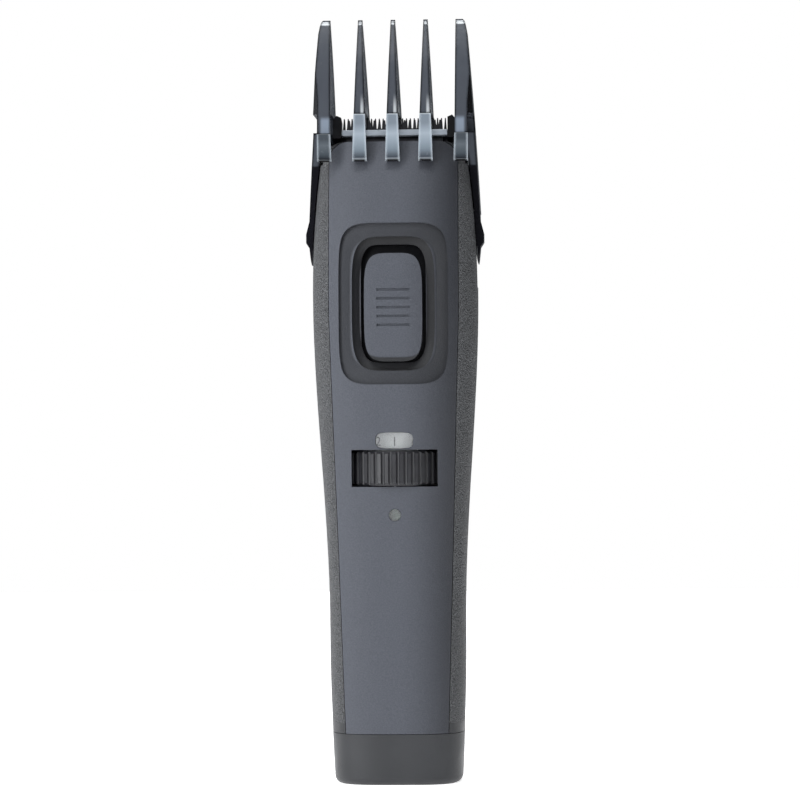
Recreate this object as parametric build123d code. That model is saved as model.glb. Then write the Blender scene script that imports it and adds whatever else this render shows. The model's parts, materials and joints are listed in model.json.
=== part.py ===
from build123d import *
import math
import os

# Hair clipper with a snap-on length comb, in millimetres.
# The origin is the middle of the flat base, +Z runs up to the comb tips and -Y is the front.

# ---------------------------------------------------------------- driving sizes
# Outer form: half width and the depths in front of and behind the axis
base_half_width = 17.6
waist_half_width = 18.8
grip_half_width = 22.8
head_half_width = 19.6
base_front_depth = 13.0
waist_front_depth = 14.6
belly_front_depth = 17.8
head_front_depth = 9.8
base_back_depth = 13.0
waist_back_depth = 18.2
belly_back_depth = 18.2
head_back_depth = 8.2
front_power = 3.2            # squareness of the section in front of the axis
back_power = 2.5             # and behind it
waist_height = 45.0
widest_drop = 42.0           # from the top of the body down to the widest section
front_belly_drop = 52.0
back_belly_drop = 67.0

# Walls and clearances
wall = 2.4
grip_skin = 1.0
panel_pad = 1.4              # extra thickness behind the switch dish
seam = 0.15                  # gap between neighbouring covers
slide_gap = 0.3              # gap beside anything that moves
fit_gap = 0.1                # gap beside anything that is pushed home
shaft_gap = 0.05             # radial clearance of a shaft in its bearing

# The stack of parts along the body
base_cap_height = 14.0
lip_thickness = 1.2          # of the base cap's lip inside the covers
cell_length = 50.0
cell_radius = 7.1
cell_spacing = 14.8
cell_rise = 4.5              # from the base cap to the bottom of the cells
dial_rise = 13.5             # from the top of the cells to the dial
dial_height = 9.5
dial_radius = 13.4
dial_axis_y = -4.8
dial_ribs = 40
scale_height = 5.0
scale_radius = 9.0
screw_radius = 8.2
screw_groove_depth = 2.0
screw_end_margin = 2.25       # from the ends of the screw to its groove
comb_travel = 9.5
dial_turn_degrees = 270.0
follower_radius = 1.1
motor_gap = 4.0              # from the dial screw to the motor
motor_length = 25.0
motor_radius = 10.2
motor_half_thickness = 7.7
head_rise = 34.2             # from the top of the motor to the top of the front cover

# Front cover
panel_half_width = 17.65
panel_foot_half_width = 14.0
panel_corner_radius = 5.2
panel_taper_drop = 47.0
grip_top_drop = 6.2
grip_rear_y = 7.0
grip_corner_radius = 6.0
cover_back_y = -5.0
crown_radius = 6.0           # rounding of the top corners of the case

# Power switch: half width, half height and squareness of each nested outline
switch_drop = 44.6           # from the top of the body to the middle of the slot
dish_outline = (14.9, 22.0, 5.8)
bezel_outline = (11.3, 18.3, 4.5)
slot_outline = (8.9, 16.1, 5.6)
button_half_width = 7.9
button_power = 4.5
switch_travel = 1.8
dish_depth = 1.1
bezel_depth = 2.2
button_sink = 0.5            # how far the button lies below the outer form

# Cutter
tooth_pitch = 1.08
tooth_count = 27
tooth_length = 3.3
moving_pitch = 1.4
moving_count = 19
cutter_rise = 7.25           # from the top of the front cover to the tips of the teeth
cutter_tilt = 12.0
blade_stroke = 1.0
cheek_outer = 17.0
cheek_width = 2.3
bar_bottom = 1.55
bar_height = 1.9
bar_thickness = 1.2
fixed_thickness = 1.6
moving_thickness = 1.3
blade_gap = 0.05
blade_foot = -8.0             # the lower edges of the two blades, below the top of the cover
moving_foot = -5.0
frame_back = 3.4
cheek_foot = 0.9
blade_screw_x = 9.5
blade_screw_z = -4.5
blade_screw_shank = 0.9
blade_screw_head = 1.8

# Comb attachment
comb_rise = 33.85            # from the top of the front cover to the comb tips
fin_spacing = 9.0
fin_tip_width = 1.2
fin_foot_width = 4.0
outer_fin_inner = 16.95
leg_drop = 5.7               # from the top of the front cover down to the ends of the legs
leg_thickness = 2.4
leg_outer_x = 20.6           # how far out the two outer legs reach
leg_gap = 2.1
comb_cavity_rise = 7.6
comb_plate_drop = 19.0
comb_plate_thickness = 2.0
arm_front_y = -3.6
arm_back_y = 5.1
arm_drop = 33.5              # from the top of the front cover down to the ends of the arms
arm_gap = 0.35
tab_drop = 26.4
tab_reach = 0.7

# Comb carriage
channel_half_width = 4.2
ear_drop = 29.0
ear_height = 10.0
ear_inner_x = 15.2
bar_outer_x = 17.2
bar_half_depth = 2.4
bridge_thickness = 2.0
bridge_half_height = 3.0

# Mains inlet
inlet_half_width = 4.9
inlet_half_depth = 3.2
inlet_recess = 11.0
inlet_wall = 1.6
inlet_pin_radius = 0.85
inlet_pin_spacing = 4.8
inlet_pin_setback = 5.0

# The blades sit on this axis, and the motor and the cells against the chassis
blade_y = 0.0
chassis_y = 8.9
chassis_thickness = 1.6
chassis_half_width = 13.0
shelf_thickness = 2.6
shaft_radius = 1.0
crank_radius = 1.0
crank_pin_radius = 0.8
axle_radius = 1.5

# Screws
boss_radius = 2.6
boss_x = 12.3
screw_shank_radius = 1.1
screw_head_radius = 2.1
screw_seat_y = 5.0
seal_thickness = 2.0
head_frame_height = 11.0

# ---------------------------------------------------------------- heights worked out from them
cell_bottom = base_cap_height + cell_rise
cell_top = cell_bottom + cell_length
dial_bottom = cell_top + dial_rise
scale_bottom = dial_bottom + dial_height + slide_gap
screw_bottom = scale_bottom + scale_height
screw_top = screw_bottom + comb_travel + 2 * (follower_radius + screw_end_margin)
motor_bottom = screw_top + motor_gap
motor_top = motor_bottom + motor_length
body_height = motor_top + head_rise
switch_z = body_height - switch_drop
tip_z = body_height + cutter_rise
comb_top = body_height + comb_rise
grip_top = body_height - grip_top_drop
ear_top = body_height - ear_drop
tip_height = cutter_rise / math.cos(math.radians(cutter_tilt))
tooth_root = tip_height - tooth_length
moving_front = blade_gap + moving_thickness
comb_lead = comb_travel / math.radians(dial_turn_degrees)
screw_heights = (cell_top + 6.5, body_height - 17.0)
indicator_z = cell_top + 5.5
head_frame_bottom = body_height - head_frame_height
guide_y = (arm_front_y + arm_back_y) / 2
groove_floor = head_half_width - 0.4
groove_bottom = ear_top - ear_height - 1.0


# ---------------------------------------------------------------- helpers
def ease(t):
    t = min(1.0, max(0.0, t))
    return t * t * (3 - 2 * t)


def profile(z, base, waist, belly, head, belly_z):
    """A size that runs smoothly from the base over the waist and the belly to the head."""
    if z < waist_height:
        return waist - (waist - base) * (1 - z / waist_height) ** 2
    if z < belly_z:
        return waist + (belly - waist) * ease((z - waist_height) / (belly_z - waist_height))
    return belly - (belly - head) * ((z - belly_z) / (body_height - belly_z)) ** 2


def half_width(z):
    return profile(z, base_half_width, waist_half_width, grip_half_width, head_half_width,
                   body_height - widest_drop)


def front_depth(z):
    return profile(z, base_front_depth, waist_front_depth, belly_front_depth, head_front_depth,
                   body_height - front_belly_drop)


def back_depth(z):
    return profile(z, base_back_depth, waist_back_depth, belly_back_depth, head_back_depth,
                   body_height - back_belly_drop)


def form_section(z, inset):
    """The outline of the body at one height, as a superellipse with a flatter front."""
    points = []
    for i in range(32):
        c, s = math.cos(math.tau * i / 32), math.sin(math.tau * i / 32)
        power = back_power if s >= 0 else front_power
        depth = (back_depth(z) if s >= 0 else front_depth(z)) - inset
        r = ((abs(c) / (half_width(z) - inset)) ** power + (abs(s) / depth) ** power) ** (-1 / power)
        points.append((r * c, r * s, z))
    return make_face(Spline(*points, periodic=True))


def form(inset, low, high):
    """The body's form between two heights, drawn in by an inset."""
    steps = max(2, round((high - low) / 13))
    heights = [low + (high - low) * i / steps for i in range(steps + 1)]
    return loft([form_section(z, inset) for z in heights])


def block(x0, x1, y0, y1, z0, z1):
    return Pos((x0 + x1) / 2, (y0 + y1) / 2, (z0 + z1) / 2) * Box(abs(x1 - x0), y1 - y0, z1 - z0)


def rod(radius, z0, z1, x=0.0, y=0.0):
    return Pos(x, y, (z0 + z1) / 2) * Cylinder(radius, z1 - z0)


def rod_y(radius, y0, y1, x, z):
    return Pos(x, (y0 + y1) / 2, z) * Rot(X=90) * Cylinder(radius, y1 - y0)


def both_sides(shape):
    return [shape, mirror(shape, Plane.YZ)]


def outline_xz(outline, middle_z, y0, y1):
    """A prism along Y of a superellipse given by half width, half height and squareness."""
    half_w, half_h, power = outline
    points = []
    for i in range(32):
        c, s = math.cos(math.tau * i / 32), math.sin(math.tau * i / 32)
        r = ((abs(c) / half_w) ** power + (abs(s) / half_h) ** power) ** (-1 / power)
        points.append((r * c, y0, middle_z + r * s))
    return extrude(make_face(Spline(*points, periodic=True)), amount=y1 - y0, dir=(0, 1, 0))


def polygon_xz(points, y0, y1):
    face = make_face(Polyline(*[(x, y0, z) for x, z in points], close=True))
    return extrude(face, amount=y1 - y0, dir=(0, 1, 0))


parts = {}


# ---------------------------------------------------------------- the case
outer_form = form(0, 0, body_height)
inner_form = form(wall, wall, body_height + 1)
grip_core = form(grip_skin, 0, body_height + 1)
case_shell = (outer_form & block(-40, 40, -40, 40, base_cap_height + seam, body_height + 1)) - inner_form


def crown_corners():
    """What is cut from the two top corners of the case to round them."""
    x, z = head_half_width - crown_radius, body_height - crown_radius
    corner = block(x, 40, -40, 40, z, body_height + 2) - rod_y(crown_radius, -41, 41, x, z)
    return both_sides(corner)


def panel_region(grow):
    """A prism along Y in the outline of the front cover."""
    low, taper_z, high = base_cap_height - 1, body_height - panel_taper_drop, body_height + grow
    foot, top = panel_foot_half_width + grow, panel_half_width + grow
    outline = [(-foot, low), (foot, low), (top, taper_z), (top, high), (-top, high), (-top, taper_z)]
    prism = polygon_xz(outline, -40, cover_back_y + grow)
    corners = prism.edges().filter_by(Axis.Y).group_by(Axis.Z)[-1]
    return fillet(corners, panel_corner_radius)


def dial_slot():
    reach = dial_radius ** 2 - (front_depth(dial_bottom) + dial_axis_y - wall - panel_pad) ** 2
    half = math.sqrt(reach) + 2 * slide_gap
    top = dial_bottom + dial_height + slide_gap
    return block(-half, half, -40, dial_axis_y, dial_bottom - slide_gap, top)


def window_prism(grow):
    middle = scale_bottom + scale_height / 2
    return outline_xz((5.0 + grow, 2.1 + grow, 4.0), middle, -40, dial_axis_y - scale_radius + 1)


def boss(x, z, y0, y1, bore):
    return rod_y(boss_radius, y0, y1, x, z) - rod_y(bore, y0, y1, x, z)


def screw_places():
    return [(side * boss_x, z) for side in (-1, 1) for z in screw_heights]


def front_cover():
    cover = case_shell & panel_region(0)
    for corner in crown_corners():
        cover = cover - corner
    low, high = switch_z - 30, switch_z + 30
    half_w, half_h, power = dish_outline
    pad = form(wall - 0.1, low, high) - form(wall + panel_pad, low - 1, high + 1)
    cover = cover + (pad & outline_xz((half_w + 1.6, half_h + 1.6, power), switch_z, -40, cover_back_y))
    for outline, depth in ((dish_outline, dish_depth), (bezel_outline, bezel_depth)):
        cover = cover - (outline_xz(outline, switch_z, -40, 0) - form(depth, low, high))
    cover = cover - outline_xz(slot_outline, switch_z, -40, 0)
    cover = cover - dial_slot() - window_prism(fit_gap)
    cover = cover - rod_y(1.6 + fit_gap, -40, 0, 0, indicator_z)
    for x, z in screw_places():
        post = boss(x, z, -front_depth(z) + wall / 2, -seam, screw_shank_radius)
        cover = cover + (post & form(wall / 2, z - 6, z + 6))
    return cover


def grip_region():
    prism = block(-40, 40, -40, grip_rear_y, base_cap_height + 3, grip_top)
    rear_top = prism.edges().filter_by(Axis.X).group_by(Axis.Z)[-1].sort_by(Axis.Y)[-1]
    return fillet(rear_top, grip_corner_radius)


def guide_grooves():
    floor_to_side = block(groove_floor, 40, guide_y - channel_half_width, guide_y + channel_half_width,
                          groove_bottom, body_height + 1)
    inner_slot = block(ear_inner_x, 40, guide_y - 3.0, guide_y + 3.0,
                       groove_bottom, ear_top + comb_travel + 1.0)
    return both_sides(floor_to_side + inner_slot)


def side_grips():
    skin = (outer_form - grip_core) & grip_region()
    skin = skin - panel_region(seam)
    for groove in guide_grooves():
        skin = skin - groove
    sides = skin.solids().sort_by(Axis.X)
    return sides[0], sides[-1]


def rear_housing():
    housing = case_shell - (grip_region() - grip_core) - panel_region(seam)
    for corner in crown_corners():
        housing = housing - corner
    pad_half, pad_top = channel_half_width + 1.5, head_frame_bottom - seal_thickness - 1
    for side in (-1, 1):
        # a pad inside each wall carries the groove that guides the comb
        pad = block(side * (bar_outer_x + 0.4), side * 24, guide_y - pad_half, guide_y + pad_half,
                    groove_bottom - 2, pad_top)
        housing = housing + (pad & form(wall - 0.1, groove_bottom - 8, body_height))
    for groove in guide_grooves():
        housing = housing - groove
    for x, z in screw_places():
        bore = rod_y(screw_shank_radius + fit_gap, -1, screw_seat_y + 1, x, z)
        bore = bore + rod_y(screw_head_radius + fit_gap, screw_seat_y, 40, x, z)
        post = (rod_y(boss_radius + 0.6, 0, 30, x, z) & form(wall / 2, z - 6, z + 6)) - bore
        housing = housing - bore + post
    return housing


def case_screws():
    screws = []
    for x, z in screw_places():
        shank = rod_y(screw_shank_radius, -5.5, screw_seat_y + 0.2, x, z)
        head = rod_y(screw_head_radius, screw_seat_y, screw_seat_y + 1.4, x, z)
        cross = block(x - 1.2, x + 1.2, screw_seat_y + 0.8, screw_seat_y + 2, z - 0.25, z + 0.25)
        cross = cross + block(x - 0.25, x + 0.25, screw_seat_y + 0.8, screw_seat_y + 2, z - 1.2, z + 1.2)
        screws.append(shank + head - cross)
    return Compound(children=screws)


# ---------------------------------------------------------------- base cap and inlet
def inlet_outline(grow, z0, z1):
    """The rounded slot of a two-pin inlet."""
    half, radius = inlet_half_width + grow, inlet_half_depth + grow
    ends = [rod(radius, z0, z1, side * (half - radius)) for side in (-1, 1)]
    return ends[0] + ends[1] + block(radius - half, half - radius, -radius, radius, z0, z1)


def base_cap():
    cup = form(0, 0, base_cap_height)
    cup = fillet(cup.edges().group_by(Axis.Z)[0], 2.0)
    cup = cup - form(wall, wall, base_cap_height + 1)
    # a lip stands up inside the covers
    low, high = base_cap_height - 3, base_cap_height + 2.5
    lip = form(wall + fit_gap, low, high) - form(wall + fit_gap + lip_thickness, low - 1, high + 1)
    band = form(wall - 0.3, low, base_cap_height - 0.5) - form(wall + fit_gap + lip_thickness, low - 1, high + 1)
    return cup + band + lip - inlet_outline(inlet_wall + fit_gap, -1, wall + 1)


def inlet_socket():
    socket = inlet_outline(inlet_wall, 0.4, inlet_recess + 1.6) - inlet_outline(0, -1, inlet_recess)
    flange = inlet_outline(inlet_wall + 2, wall, wall + 1.5) - inlet_outline(inlet_wall - 0.1, 0, wall + 2)
    holes = [rod(inlet_pin_radius, 0, inlet_recess + 3, side * inlet_pin_spacing / 2) for side in (-1, 1)]
    return socket + flange - holes[0] - holes[1]


def inlet_pins():
    pins = []
    for side in (-1, 1):
        pin = rod(inlet_pin_radius, inlet_pin_setback, inlet_recess + 3.0, side * inlet_pin_spacing / 2)
        pins.append(fillet(pin.edges().group_by(Axis.Z)[0], 0.4))
    return Compound(children=pins)


# ---------------------------------------------------------------- chassis, cells and boards
cell_y = chassis_y - cell_radius - slide_gap
motor_y = chassis_y - motor_half_thickness
shelf_half_width = 14.3
dial_shelf_top = dial_bottom - 1.0
motor_shelf_bottom = screw_top + 0.4


def chassis():
    floor_z = base_cap_height + 2.9
    plate = block(-chassis_half_width, chassis_half_width, chassis_y, chassis_y + chassis_thickness,
                  floor_z, motor_top + 3)
    plate = plate + block(-14, 14, -6, chassis_y + 0.1, floor_z, floor_z + 1.2)
    plate = plate + block(-shelf_half_width, shelf_half_width, -11, chassis_y + 0.1,
                          dial_shelf_top - shelf_thickness, dial_shelf_top)
    plate = plate + block(-shelf_half_width, shelf_half_width, -8, chassis_y + 0.1,
                          motor_shelf_bottom, motor_bottom)
    for z0, z1 in ((dial_shelf_top - shelf_thickness - 1, dial_shelf_top + 1),
                   (motor_shelf_bottom - 1, motor_bottom + 1)):
        plate = plate - rod(axle_radius, z0, z1, 0, dial_axis_y)
    for x, z in screw_places():
        plate = plate - rod_y(boss_radius + 0.6 + fit_gap, chassis_y - 1, 20, x, z)
    return plate & form(wall + seam, floor_z - 5, motor_top + 8)


def battery_cells():
    cells = []
    for side in (-1, 1):
        x = side * cell_spacing / 2
        can = rod(cell_radius, cell_bottom, cell_top - 1, x, cell_y)
        can = fillet(can.edges(), 0.5)
        groove = rod(cell_radius + 1, cell_top - 4.2, cell_top - 3.6, x, cell_y)
        groove = groove - rod(cell_radius - 0.35, cell_top - 5, cell_top - 3, x, cell_y)
        cells.append(can - groove + rod(2.7, cell_top - 1.2, cell_top, x, cell_y))
    return Compound(children=cells)


def cell_contacts():
    bottom = block(-10, 10, cell_y - 2, cell_y + 2, cell_bottom - 0.3, cell_bottom)
    tops = [block(x - 2.5, x + 2.5, cell_y - 2, cell_y + 2, cell_top, cell_top + 0.3)
            + block(x - 1.5, x + 1.5, cell_y + 1.7, cell_y + 2, cell_top, cell_top + 5)
            for x in (-cell_spacing / 2, cell_spacing / 2)]
    return Compound(children=[bottom] + tops)


def charge_board():
    return block(-8.5, 8.5, -9.6, -8.4, cell_top + 1.5, dial_shelf_top - shelf_thickness - 0.3)


def charge_led():
    flange = block(-1.6, 1.6, -9.9, -9.6, indicator_z - 1.6, indicator_z + 1.6)
    return rod_y(1.25, -11.6, -9.6, 0, indicator_z) + flange


def indicator_lens():
    lens = rod_y(1.6, -40, -11.9, 0, indicator_z) & form(0.2, indicator_z - 8, indicator_z + 8)
    return lens + rod_y(2.3, -12.7, -11.9, 0, indicator_z)


def circuit_board():
    return block(-12.5, 12.5, board_y - 1.4, board_y, motor_bottom + 1.0, motor_top + 7.0)


board_y = motor_y - motor_half_thickness - 0.5
board_front_y = board_y - 1.4
shutter_inset = wall + panel_pad + 2 * slide_gap
shutter_lap = 0.4


def switch_body():
    z = switch_z - 1.0
    return (block(-3, 3, board_front_y - 2.3, board_front_y, z - 5, z + 5)
            - block(-1.4, 1.4, board_front_y - 2.4, board_front_y - 1.0, z - 3.2, z + 3.2))


def switch_lever():
    z = switch_z - 1.9
    return block(-1.2, 1.2, board_front_y - 3.0, board_front_y - 1.2, z - 1.2, z + 1.2)


# ---------------------------------------------------------------- power switch
def switch_button():
    half_height = slot_outline[1] - slide_gap - switch_travel / 2 - 0.15
    low_middle = switch_z - slot_outline[1] + slide_gap + half_height
    prism = outline_xz((button_half_width, half_height, button_power), low_middle, -40, 0)
    low, high = switch_z - 30, switch_z + 30
    skin = form(button_sink, low, high) - form(shutter_inset - shaft_gap, low - 1, high + 1)
    ridge_floor = form(button_sink + 0.4, low, high)
    button = skin & prism
    # a row of shallow finger ridges across the middle
    for i in range(5):
        z = low_middle + (i - 2) * 2.4
        button = button - (block(-4.5, 4.5, -40, 0, z - 0.35, z + 0.35) - ridge_floor)
    return button


def switch_shutter():
    half_height = slot_outline[1] + switch_travel / 2 + shutter_lap
    outline = (slot_outline[0] + 1.6, half_height, slot_outline[2])
    low, high = switch_z - 30, switch_z + 30
    skin = form(shutter_inset, low, high) - form(shutter_inset + 0.8, low - 1, high + 1)
    return skin & outline_xz(outline, switch_z - switch_travel / 2, -40, 0)


def shutter_fork():
    """Two ribs on the back of the shutter that carry the switch lever along."""
    z = switch_z - 1.9
    front = -front_depth(z) + shutter_inset + 0.6
    return [block(-1.2, 1.2, front, board_front_y - 1.6, z + side * 1.8 - 0.5, z + side * 1.8 + 0.5)
            for side in (-1, 1)]


# ---------------------------------------------------------------- length dial
def length_dial():
    dial = rod(dial_radius, dial_bottom, dial_bottom + dial_height, 0, dial_axis_y)
    dial = chamfer(dial.edges().group_by(Axis.Z)[0] + dial.edges().group_by(Axis.Z)[-1], 0.8)
    for i in range(dial_ribs):
        angle = math.tau * (i + 0.5) / dial_ribs
        dial = dial - rod(0.55, dial_bottom - 1, dial_bottom + dial_height + 1,
                          dial_radius * math.cos(angle), dial_axis_y + dial_radius * math.sin(angle))
    return dial - rod(axle_radius + shaft_gap, dial_bottom - 1, screw_top, 0, dial_axis_y)


def scale_ring():
    drum = rod(scale_radius, dial_bottom + dial_height, screw_bottom, 0, dial_axis_y)
    return drum - rod(axle_radius + shaft_gap, dial_bottom, screw_top, 0, dial_axis_y)


follower_z = screw_bottom + follower_radius + screw_end_margin
groove_width = 2 * (follower_radius + slide_gap)


def dial_screw():
    """The hub whose helical groove lifts the carriage as the dial turns."""
    hub = rod(screw_radius, screw_bottom, screw_top, 0, dial_axis_y)
    run_out = 12.0
    sweep_degrees = dial_turn_degrees + 2 * run_out
    lead = math.tau * comb_lead
    height = lead * sweep_degrees / 360
    helix = Helix(lead, height, screw_radius, lefthand=True)
    # the groove starts just past the back of the hub and runs clockwise as it climbs
    start_z = follower_z - lead * run_out / 360
    across = Rectangle(2 * screw_groove_depth, groove_width)
    section = Plane(helix @ 0, x_dir=(1, 0, 0), z_dir=helix % 0) * across
    groove = sweep(section, path=helix, is_frenet=True)
    groove = Pos(0, dial_axis_y, start_z) * Rot(Z=90 + run_out) * groove
    return hub - groove - rod(axle_radius + shaft_gap, screw_bottom - 1, screw_top + 1, 0, dial_axis_y)


def dial_axle():
    return rod(axle_radius, dial_shelf_top - shelf_thickness, motor_bottom - 0.2, 0, dial_axis_y)


def dial_click_spring():
    leaf = block(-6, 6, dial_axis_y + 7.5, dial_axis_y + 9.5, dial_shelf_top, dial_shelf_top + 0.3)
    return leaf + rod_y(0.35, dial_axis_y + 7.5, dial_axis_y + 9.5, 4.5, dial_shelf_top + 0.45)


def scale_window():
    middle = scale_bottom + scale_height / 2
    return window_prism(0) & (form(0.1, middle - 9, middle + 9) - form(1.4, middle - 10, middle + 10))


# ---------------------------------------------------------------- comb carriage
bridge_y = dial_axis_y + screw_radius + 0.7


def carriage():
    low, high = follower_z - bridge_half_height, follower_z + bridge_half_height
    front, back, bridge_back = guide_y - bar_half_depth, guide_y + bar_half_depth, bridge_y + bridge_thickness
    frame = block(-bar_outer_x, bar_outer_x, bridge_y, bridge_back, low, high)
    for side in (-1, 1):
        frame = frame + block(side * ear_inner_x, side * bar_outer_x, front, bridge_back, low, high)
        frame = frame + block(side * ear_inner_x, side * bar_outer_x, front, back, low, ear_top)
        ear = block(side * (bar_outer_x - 0.1), side * 24, front, back, ear_top - ear_height, ear_top)
        head = block(side * (groove_floor + slide_gap), side * 24, guide_y - channel_half_width + slide_gap,
                     guide_y + channel_half_width - slide_gap, ear_top - ear_height, ear_top)
        pocket = block(side * 20.3, side * 21.5, guide_y - 2.2, guide_y + 2.2,
                       ear_top - 5, ear_top + 1)
        frame = frame + ((ear + head) & form(slide_gap, ear_top - 25, ear_top + 5)) - pocket
    return frame - rod_y(follower_radius, bridge_y - 1, bridge_y + 5, 0, follower_z)


def follower_pin():
    tip = dial_axis_y + screw_radius - screw_groove_depth + slide_gap
    return rod_y(follower_radius, tip, bridge_y + bridge_thickness, 0, follower_z)


# ---------------------------------------------------------------- motor and drive
def motor_slug(radius, half, z0, z1):
    return rod(radius, z0, z1, 0, motor_y) & block(-20, 20, motor_y - half, motor_y + half, z0, z1)


def motor_can():
    can = motor_slug(motor_radius, motor_half_thickness, motor_bottom + 2.5, motor_top)
    can = fillet(can.edges().group_by(Axis.Z)[-1], 0.8)
    return can - rod(shaft_radius + shaft_gap, motor_bottom, motor_top + 1, 0, motor_y)


def motor_end_cap():
    cap = motor_slug(motor_radius - 0.3, motor_half_thickness - 0.3, motor_bottom, motor_bottom + 2.5)
    return cap - rod(shaft_radius + shaft_gap, motor_bottom - 1, motor_top, 0, motor_y)


def motor_bushing():
    ring = rod(3.0, motor_top, motor_top + 1.6, 0, motor_y)
    return ring - rod(shaft_radius + shaft_gap, motor_top - 1, motor_top + 3, 0, motor_y)


eccentric_bottom = motor_top + 2.2
eccentric_height = 2.6


def motor_shaft():
    return rod(shaft_radius, motor_bottom + 0.5, eccentric_bottom, 0, motor_y)


def eccentric():
    disc = rod(3.6, eccentric_bottom, eccentric_bottom + eccentric_height, 0, motor_y)
    disc = fillet(disc.edges().group_by(Axis.Z)[-1], 0.4)
    pin = rod(crank_pin_radius, eccentric_bottom + eccentric_height - 0.1,
              eccentric_bottom + eccentric_height + 3.4, 0, motor_y + crank_radius)
    return disc + pin


fork_bottom = eccentric_bottom + eccentric_height + 0.5
fork_half_slot = crank_pin_radius + crank_radius + blade_stroke + slide_gap
driver_half_width = 3.2


def drive_arm():
    fork_top = fork_bottom + 5.0
    half, low, top = fork_half_slot, fork_bottom - 1, fork_top - 1.2
    arm = block(-half - 2.2, half + 2.2, motor_y - 3.5, motor_y + 3.5, fork_bottom, fork_top)
    arm = arm - block(-half, half, motor_y - 4, motor_y + 4, low, top)
    stem_top = body_height - 6.5
    arm = arm + block(-2.2, 2.2, -5.0, motor_y + 1, fork_top - 0.1, fork_top + 2.0)
    arm = arm + block(-2.2, 2.2, -5.0, -3.0, fork_top + 1.0, stem_top)
    driver = block(-driver_half_width, driver_half_width, -3.6, -moving_front, moving_foot - 2, -0.6)
    return arm + on_cutter(driver)


# ---------------------------------------------------------------- cutter
def on_cutter(shape):
    """Places a shape drawn upright at the head onto the leaning cutter."""
    return Pos(0, blade_y, body_height) * Rot(X=-cutter_tilt) * shape


def toothed_blade(count, pitch, root_width, tip_width, low, root_z, tip_z, y0, y1):
    half = count * pitch / 2
    outline = [(-half, low), (half, low), (half, root_z)]
    for i in reversed(range(count)):
        x = (i + 0.5) * pitch - half
        outline += [(x + root_width / 2, root_z), (x + tip_width / 2, tip_z),
                    (x - tip_width / 2, tip_z), (x - root_width / 2, root_z)]
    outline.append((-half, root_z))
    return polygon_xz(outline, y0, y1)


def fixed_blade():
    blade = toothed_blade(tooth_count, tooth_pitch, 0.8, 0.3, blade_foot, tooth_root,
                          tip_height, 0, fixed_thickness)
    for side in (-1, 1):
        blade = blade - rod_y(blade_screw_shank + fit_gap, -1, 3, side * blade_screw_x, blade_screw_z)
    return on_cutter(blade)


def moving_blade():
    blade = toothed_blade(moving_count, moving_pitch, 1.0, 0.42, moving_foot, tooth_root,
                          tip_height - 0.9, -moving_front, -blade_gap)
    for side in (-1, 1):
        half_notch = blade_screw_head + blade_stroke + slide_gap
        middle, top = side * blade_screw_x, blade_screw_z + blade_screw_head + slide_gap
        blade = blade - block(middle - half_notch, middle + half_notch, -2, 0, moving_foot - 1, top)
    return on_cutter(blade)


def guide_bar():
    bar = block(-cheek_outer + cheek_width + seam, cheek_outer - cheek_width - seam,
                -moving_front - 0.1 - bar_thickness, -moving_front - 0.1, bar_bottom, bar_bottom + bar_height)
    return on_cutter(chamfer(bar.edges().filter_by(Axis.X), 0.25))


def blade_frame():
    inner = cheek_outer - cheek_width
    cheek = polygon_xz([(-cheek_outer, cheek_foot), (-inner, cheek_foot), (-inner, tip_height - 0.6),
                        (-cheek_outer + 1.0, tip_height), (-cheek_outer, tip_height - 1.2)], -3.2, 2.6)
    frame = block(-cheek_outer, cheek_outer, fixed_thickness, frame_back, cheek_foot, 2.6)
    frame = frame + block(-14.5, 14.5, fixed_thickness, frame_back, blade_foot, cheek_foot + 0.2)
    for side in both_sides(cheek):
        frame = frame + side
    for side in (-1, 1):
        frame = frame - rod_y(blade_screw_shank, -5, 10, side * blade_screw_x, blade_screw_z)
    return on_cutter(frame)


def blade_screws():
    screws = []
    for side in (-1, 1):
        screw = rod_y(blade_screw_shank, -0.1, frame_back - 0.2, side * blade_screw_x, blade_screw_z)
        head = rod_y(blade_screw_head, -1.0, 0, side * blade_screw_x, blade_screw_z)
        slot = block(side * blade_screw_x - 2, side * blade_screw_x + 2, -1.5, -0.6,
                     blade_screw_z - 0.2, blade_screw_z + 0.2)
        screws.append(on_cutter(screw + head - slot))
    return Compound(children=screws)


def head_frame():
    """The black block that closes the top of the case and carries the cutter."""
    block_form = form(wall + fit_gap, head_frame_bottom, body_height - 0.2)
    for corner in crown_corners():
        block_form = block_form - corner
    half, back = cheek_outer + fit_gap, frame_back + fit_gap
    blades = block(-15.0, 15.0, -3.8, back, blade_foot - 0.4, 6)
    pocket = on_cutter(blades + block(-half, half, -3.4, back, 0.3, 6))
    slot = block(-driver_half_width - blade_stroke - 0.4, driver_half_width + blade_stroke + 0.4,
                 -6.2, 1.5, head_frame_bottom - 1, body_height + 1)
    return block_form - pocket - slot


def head_seal():
    gasket = form(wall + fit_gap, head_frame_bottom - seal_thickness, head_frame_bottom)
    slot = block(-driver_half_width - blade_stroke - 0.2, driver_half_width + blade_stroke + 0.2,
                 -6.0, 1.3, head_frame_bottom - 3, body_height)
    return gasket - slot


# ---------------------------------------------------------------- comb
ledge_z = body_height + comb_cavity_rise - 0.4
outer_ledge_z = body_height + 1.8
leg_bottom = body_height - leg_drop
leg_back_y = -head_front_depth - leg_gap
leg_front_y = leg_back_y - leg_thickness
comb_back_low = body_height - comb_plate_drop
comb_back_high = body_height - 1.0
fin_tip_y = -5.0


def comb_half_width(z):
    rise = z - (body_height - tab_drop)
    return 23.85 - 0.045 * rise - 0.00025 * rise ** 2


def fin_width(z):
    share = (comb_top - z) / (comb_top - leg_bottom)
    return fin_tip_width + (fin_foot_width - fin_tip_width) * share


def back_y(z, gap):
    return back_depth(z) + gap


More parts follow.
